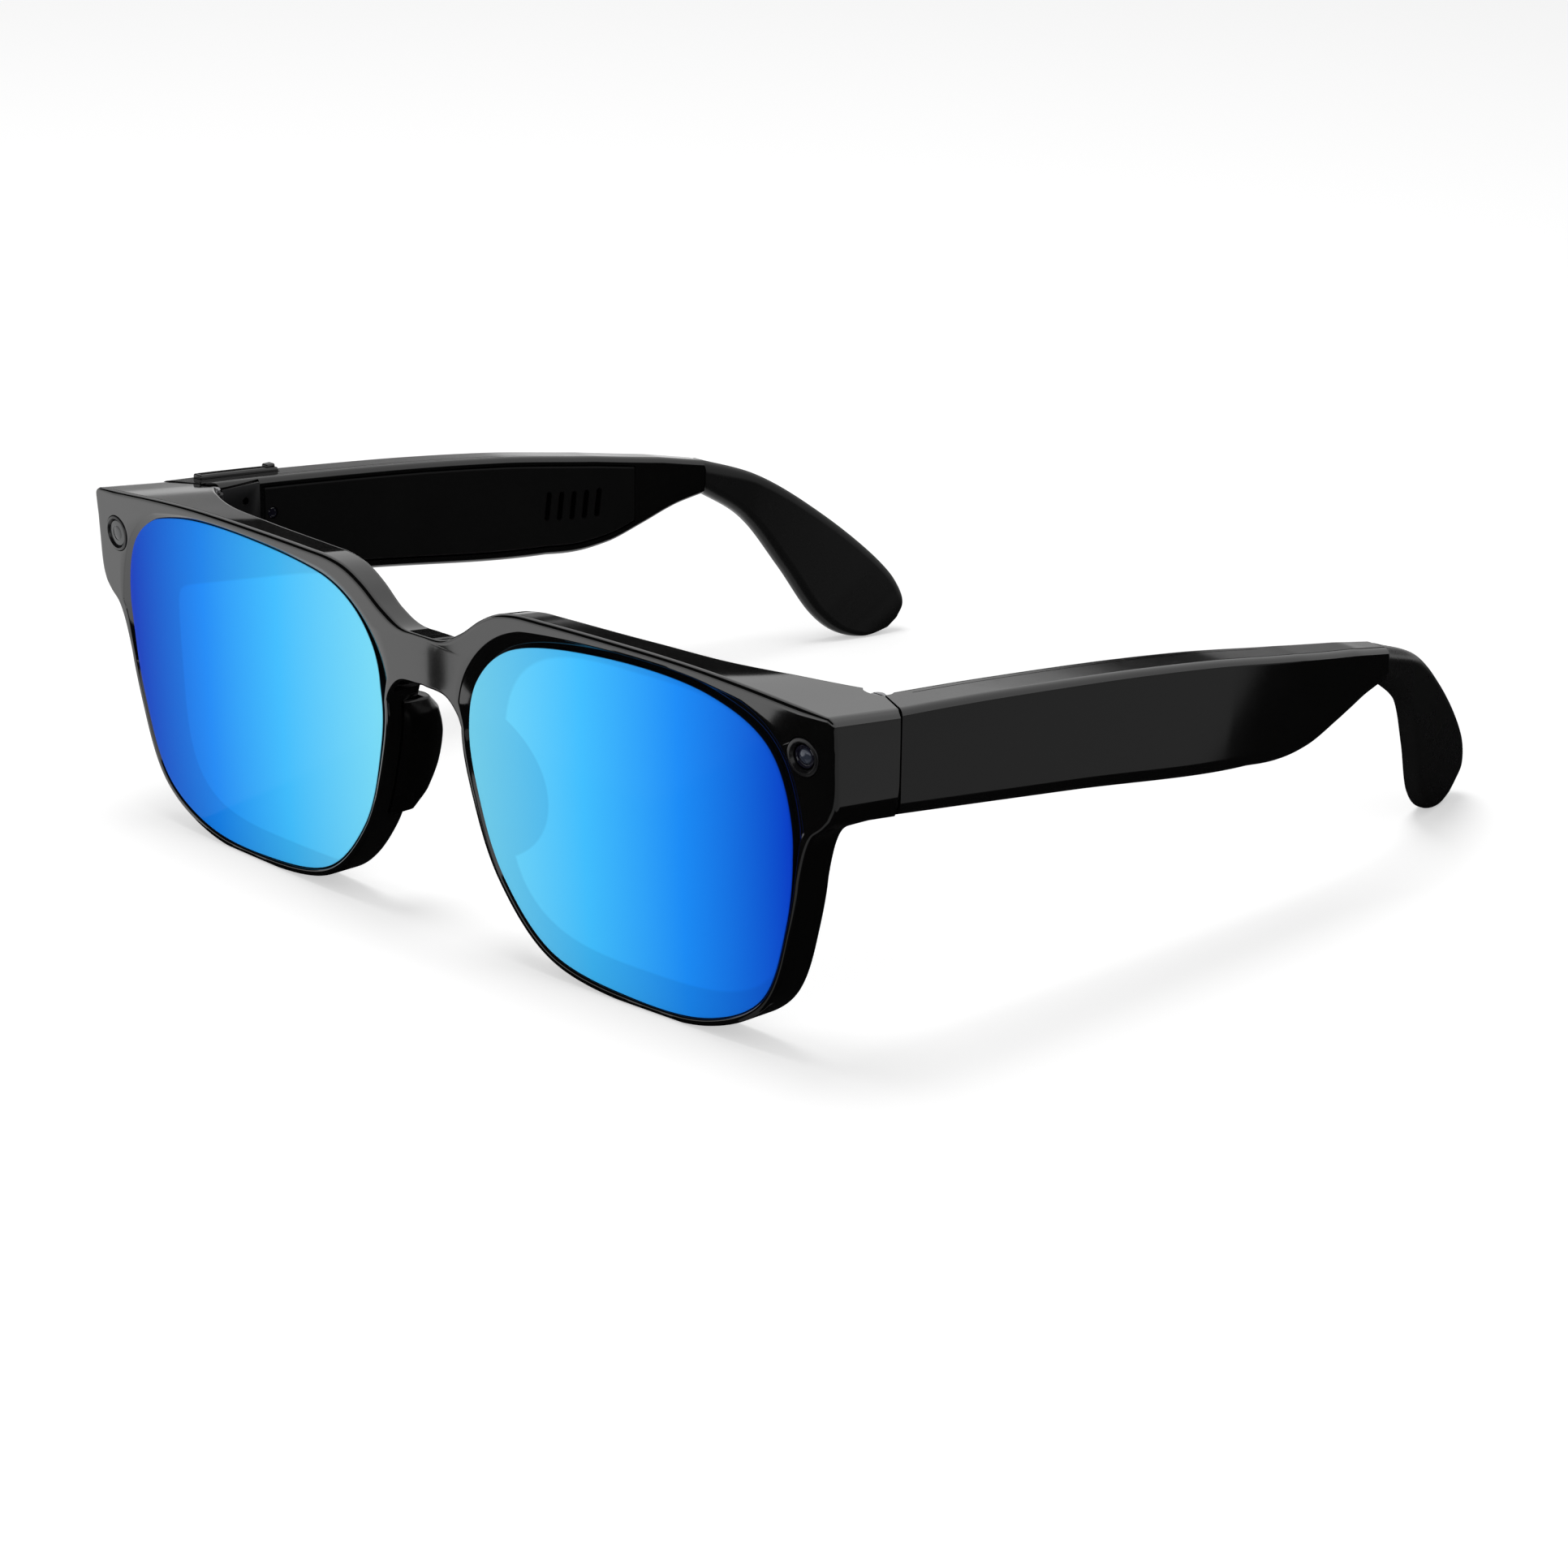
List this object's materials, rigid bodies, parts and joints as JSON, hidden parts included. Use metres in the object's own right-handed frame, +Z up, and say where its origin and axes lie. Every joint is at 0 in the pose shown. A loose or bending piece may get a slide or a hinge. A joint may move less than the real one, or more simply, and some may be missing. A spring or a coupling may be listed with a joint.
{
  "type": "smart glasses",
  "caption": "Square-framed smart glasses with blue mirrored lenses, camera and light in the front ends, folding electronics temples with drop ear tips and a top capture button.",
  "frame": {"origin": "middle of the bounding box in X and Y, at the floor under the rims and ear tips", "axes": "+X to the wearer's left, +Y from the face back along the temples, +Z up"},
  "size_m": [0.149, 0.1524, 0.0498],
  "materials": {
    "gloss_black": "polished injection-moulded black",
    "mirror_blue": "blue mirror coating that goes from pale cyan at the nose to deep blue outside",
    "soft_black": "fine matt black",
    "dark_ring": "dark satin ring",
    "camera_glass": "dark polished glass",
    "light_window": "smoked window",
    "black_barrel": "matt black",
    "hinge_steel": "satin steel",
    "board_green": "solder mask",
    "cell_silver": "foil",
    "speaker_black": "matt black",
    "contact_gold": "gold plate"
  },
  "bodies": {
    "front": {"front_frame": "gloss_black", "lens_left": "mirror_blue", "lens_right": "mirror_blue", "nose_pad_left": "soft_black", "nose_pad_right": "soft_black", "camera_bezel": "dark_ring", "camera_window": "camera_glass", "camera_barrel": "black_barrel", "light_bezel": "dark_ring", "light_window": "light_window", "light_body": "black_barrel", "charge_contact_left": "contact_gold", "charge_contact_right": "contact_gold", "hinge_front_leaf_left": "hinge_steel", "hinge_front_leaf_right": "hinge_steel", "hinge_pin_left": "hinge_steel", "hinge_pin_right": "hinge_steel"},
    "temple_left": {"temple_shell_left": "gloss_black", "temple_cover_left": "soft_black", "temple_tip_left": "gloss_black", "tip_core_left": "hinge_steel", "hinge_temple_leaf_left": "hinge_steel", "battery_cell": "cell_silver", "speaker_left": "speaker_black", "microphone_left": "cell_silver"},
    "temple_right": {"temple_shell_right": "gloss_black", "temple_cover_right": "soft_black", "temple_tip_right": "gloss_black", "tip_core_right": "hinge_steel", "hinge_temple_leaf_right": "hinge_steel", "main_board": "board_green", "speaker_right": "speaker_black", "microphone_right": "cell_silver", "capture_switch": "speaker_black", "wear_sensor_window": "camera_glass"},
    "capture_button": {"capture_button": "gloss_black"},
    "power_slider": {"power_slider": "soft_black"}
  },
  "joints": [
    {"name": "temple_left_fold", "type": "hinge", "parent": "front", "child": "temple_left", "pos_m": [0.0668, -0.05776, 0.0393], "axis": [0, 0, 1], "range_deg": [0, 88]},
    {"name": "temple_right_fold", "type": "hinge", "parent": "front", "child": "temple_right", "pos_m": [-0.0668, -0.05776, 0.0393], "axis": [0, 0, -1], "range_deg": [0, 75]},
    {"name": "capture_button_press", "type": "slide", "parent": "temple_right", "child": "capture_button", "axis": [0, 0, -1], "range_m": [0, 0.0004], "stiffness_N_per_m": 900},
    {"name": "power_slider_move", "type": "slide", "parent": "temple_left", "child": "power_slider", "axis": [0, 1, 0], "range_m": [0, 0.002]}
  ]
}
